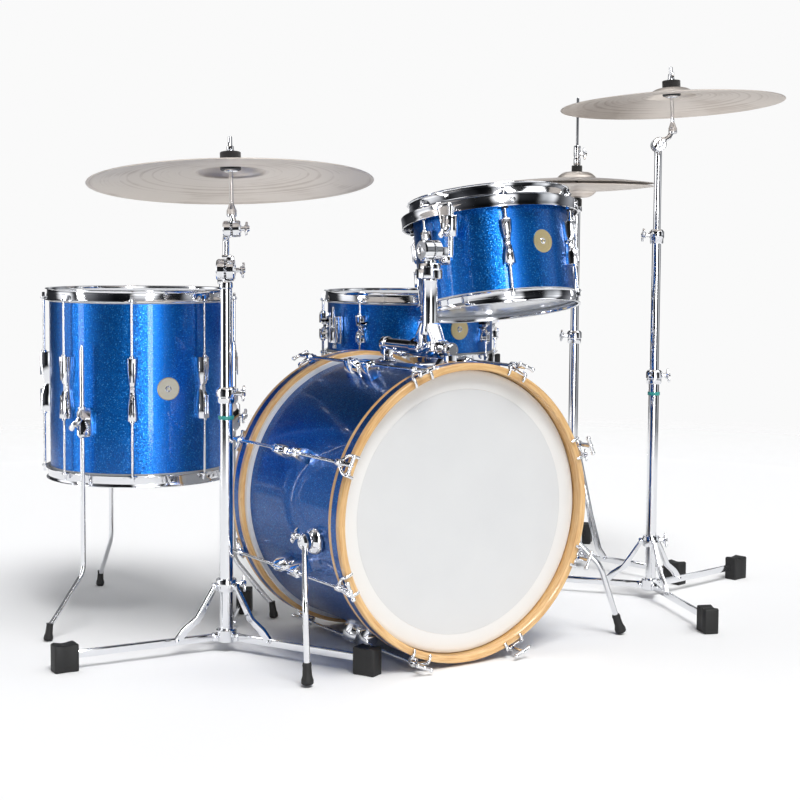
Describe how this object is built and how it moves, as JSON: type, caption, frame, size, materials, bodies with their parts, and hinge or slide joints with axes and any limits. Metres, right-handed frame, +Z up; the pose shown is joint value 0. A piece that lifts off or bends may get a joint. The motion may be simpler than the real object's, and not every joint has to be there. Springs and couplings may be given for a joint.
{
  "type": "acoustic drum kit",
  "caption": "Acoustic drum kit: bass drum, rack tom, floor tom and snare in blue sparkle, with ride, crash and hi-hat cymbals on chrome tripod stands.",
  "frame": {"origin": "centre of the kit's bounding box, on the floor", "axes": "+Z up, -Y the way the bass drum's front head faces, +X to the right of someone facing the front of the kit"},
  "size_m": [1.6364, 1.0448, 1.1313],
  "materials": {
    "blue_sparkle": "blue sparkle wrap on a wooden shell",
    "chrome": "polished chrome plate",
    "maple": "clear lacquered maple with a blue sparkle inlay",
    "coated_head": "coated white polyester film",
    "clear_head": "clear polyester film",
    "bronze": "lathed cymbal bronze",
    "steel_wire": "drawn steel wire",
    "rubber": "black moulded rubber",
    "felt": "pressed black felt",
    "badge": "cream and gold enamel",
    "teal_ring": "plain teal plastic ring"
  },
  "bodies": {
    "kit": {"bass_shell": "blue_sparkle", "bass_front_head": "coated_head", "bass_batter_head": "coated_head", "bass_front_hoop": "maple", "bass_rear_hoop": "maple", "tom_rail": "chrome", "floor_tom_shell": "blue_sparkle", "floor_tom_batter_head": "coated_head", "floor_tom_resonant_head": "clear_head", "floor_tom_top_hoop": "chrome", "floor_tom_bottom_hoop": "chrome", "ride_stand_base": "chrome", "crash_stand_base": "chrome", "hihat_stand_base": "chrome", "hihat_heel_plate": "chrome", "snare_stand_base": "chrome"},
    "spur_left": {"bass_spur_left": "chrome"},
    "spur_right": {"bass_spur_right": "chrome"},
    "tom_clamp": {"tom_post_clamp": "chrome"},
    "tom_post_body": {"tom_post": "chrome"},
    "tom_arm_body": {"tom_arm": "chrome"},
    "tom": {"tom_suspension_ring": "chrome", "tom_shell": "blue_sparkle", "tom_batter_head": "coated_head", "tom_resonant_head": "clear_head", "tom_top_hoop": "chrome", "tom_bottom_hoop": "chrome"},
    "floor_leg_1": {"floor_tom_leg_1": "chrome"},
    "floor_leg_2": {"floor_tom_leg_2": "chrome"},
    "floor_leg_3": {"floor_tom_leg_3": "chrome"},
    "snare_post": {"snare_stand_post": "chrome"},
    "snare": {"snare_basket_hub": "chrome", "snare_shell": "blue_sparkle", "snare_batter_head": "coated_head", "snare_resonant_head": "clear_head", "snare_top_hoop": "chrome", "snare_bottom_hoop": "chrome", "snare_strainer": "chrome", "snare_butt_plate": "chrome", "snare_wires": "steel_wire"},
    "strainer_lever": {"snare_strainer_lever": "chrome"},
    "basket_arm_1": {"snare_basket_arm_1": "chrome"},
    "basket_arm_2": {"snare_basket_arm_2": "chrome"},
    "basket_arm_3": {"snare_basket_arm_3": "chrome"},
    "ride_tube": {"ride_stand_tube": "chrome"},
    "ride_rod": {"ride_stand_rod": "chrome"},
    "ride_stem": {"ride_cymbal_stem": "chrome", "ride_wing_nut": "chrome"},
    "ride_plate": {"ride_cymbal": "bronze"},
    "crash_tube": {"crash_stand_tube": "chrome"},
    "crash_rod": {"crash_stand_rod": "chrome"},
    "crash_stem": {"crash_cymbal_stem": "chrome", "crash_wing_nut": "chrome"},
    "crash_plate": {"crash_cymbal": "bronze"},
    "hat_tube": {"hihat_stand_tube": "chrome", "hihat_bottom_cymbal": "bronze"},
    "hat_pedal": {"hihat_footboard": "chrome"},
    "hat_rod": {"hihat_pull_rod": "chrome"},
    "hat_clutch": {"hihat_clutch": "chrome", "hihat_top_cymbal": "bronze"}
  },
  "joints": [
    {"name": "bass_spur_left_fold", "type": "hinge", "parent": "kit", "child": "spur_left", "pos_m": [-0.4364, -0.34635, 0.234], "axis": [1, 0, 0], "range_deg": [-60, 0]},
    {"name": "bass_spur_right_fold", "type": "hinge", "parent": "kit", "child": "spur_right", "pos_m": [0.1026, -0.34635, 0.234], "axis": [1, 0, 0], "range_deg": [-60, 0]},
    {"name": "tom_holder_along_rail", "type": "slide", "parent": "kit", "child": "tom_clamp", "axis": [0, 1, 0], "range_m": [-0.008, 0.01]},
    {"name": "tom_post_height", "type": "slide", "parent": "tom_clamp", "child": "tom_post_body", "axis": [0, 0, 1], "range_m": [0, 0.06]},
    {"name": "tom_arm_tilt", "type": "hinge", "parent": "tom_post_body", "child": "tom_arm_body", "pos_m": [-0.1669, -0.32435, 0.745], "axis": [1, 0, 0], "range_deg": [-12, 0]},
    {"name": "tom_swivel", "type": "hinge", "parent": "tom_arm_body", "child": "tom", "pos_m": [-0.1059, -0.30235, 0.79], "axis": [0, 0, 1], "range_deg": [-10, 0]},
    {"name": "floor_tom_leg_1_height", "type": "slide", "parent": "kit", "child": "floor_leg_1", "axis": [0, 0, 1], "range_m": [0, 0.06]},
    {"name": "floor_tom_leg_2_height", "type": "slide", "parent": "kit", "child": "floor_leg_2", "axis": [0, 0, 1], "range_m": [0, 0.06]},
    {"name": "floor_tom_leg_3_height", "type": "slide", "parent": "kit", "child": "floor_leg_3", "axis": [0, 0, 1], "range_m": [0, 0.06]},
    {"name": "snare_stand_height", "type": "slide", "parent": "kit", "child": "snare_post", "axis": [0, 0, 1], "range_m": [-0.05, 0.02]},
    {"name": "snare_basket_tilt", "type": "hinge", "parent": "snare_post", "child": "snare", "pos_m": [0.0881, 0.12865, 0.448], "axis": [1, 0, 0], "range_deg": [-10, 0]},
    {"name": "snare_strainer_throw", "type": "hinge", "parent": "snare", "child": "strainer_lever", "pos_m": [-0.1049, 0.12525, 0.582], "axis": [0.0175, -0.9998, 0], "range_deg": [0, 90]},
    {"name": "basket_arm_1_grip", "type": "slide", "parent": "snare", "child": "basket_arm_1", "axis": [-0.9681, -0.2504, 0], "range_m": [0, 0.008]},
    {"name": "basket_arm_2_grip", "type": "slide", "parent": "snare", "child": "basket_arm_2", "axis": [0.7009, -0.7133, 0], "range_m": [0, 0.008]},
    {"name": "basket_arm_3_grip", "type": "slide", "parent": "snare", "child": "basket_arm_3", "axis": [0.2672, 0.9636, 0], "range_m": [0, 0.008]},
    {"name": "ride_stand_height", "type": "slide", "parent": "kit", "child": "ride_tube", "axis": [0, 0, 1], "range_m": [-0.04, 0.06]},
    {"name": "ride_rod_angle", "type": "hinge", "parent": "ride_tube", "child": "ride_rod", "pos_m": [-0.4879, -0.13335, 0.706], "axis": [0.8387, -0.5446, 0], "range_deg": [-10, 10]},
    {"name": "ride_tilter", "type": "hinge", "parent": "ride_rod", "child": "ride_stem", "pos_m": [-0.4939, -0.16935, 0.7805], "axis": [0.8393, -0.5426, 0.0341], "range_deg": [-15, 15]},
    {"name": "ride_cymbal_spin", "type": "hinge", "parent": "ride_stem", "child": "ride_plate", "pos_m": [-0.4939, -0.16935, 0.7805], "axis": [0.0367, 0.1191, 0.9922], "continuous": true},
    {"name": "crash_stand_lower_height", "type": "slide", "parent": "kit", "child": "crash_tube", "axis": [0, 0, 1], "range_m": [-0.06, 0.06]},
    {"name": "crash_stand_upper_height", "type": "slide", "parent": "crash_tube", "child": "crash_rod", "axis": [0, 0, 1], "range_m": [-0.06, 0.06]},
    {"name": "crash_tilter", "type": "hinge", "parent": "crash_rod", "child": "crash_stem", "pos_m": [0.4901, -0.20835, 0.968], "axis": [-0.5449, -0.8374, 0.0418], "range_deg": [-15, 15]},
    {"name": "crash_cymbal_spin", "type": "hinge", "parent": "crash_stem", "child": "crash_plate", "pos_m": [0.51609, -0.2252, 0.96936], "axis": [-0.014, 0.0589, 0.9982], "continuous": true},
    {"name": "hihat_height", "type": "slide", "parent": "kit", "child": "hat_tube", "axis": [0, 0, 1], "range_m": [-0.08, 0]},
    {"name": "hihat_pedal_press", "type": "hinge", "parent": "kit", "child": "hat_pedal", "pos_m": [0.50132, 0.43168, 0.022], "axis": [0.972, 0.2351, 0], "range_deg": [0, 1]},
    {"name": "hihat_rod_pull", "type": "slide", "parent": "kit", "child": "hat_rod", "axis": [0, 0, -1], "range_m": [0, 0.005], "stiffness_N_per_m": 1500, "springref_m": -0.025},
    {"name": "hihat_clutch_height", "type": "slide", "parent": "hat_rod", "child": "hat_clutch", "axis": [0, 0, 1], "range_m": [0, 0.04]}
  ],
  "couplings": [
    {"joint": "basket_arm_2_grip", "follows": "basket_arm_1_grip", "ratio": 1},
    {"joint": "basket_arm_3_grip", "follows": "basket_arm_1_grip", "ratio": 1},
    {"joint": "hihat_rod_pull", "follows": "hihat_pedal_press", "m_per_rad": 0.284}
  ]
}
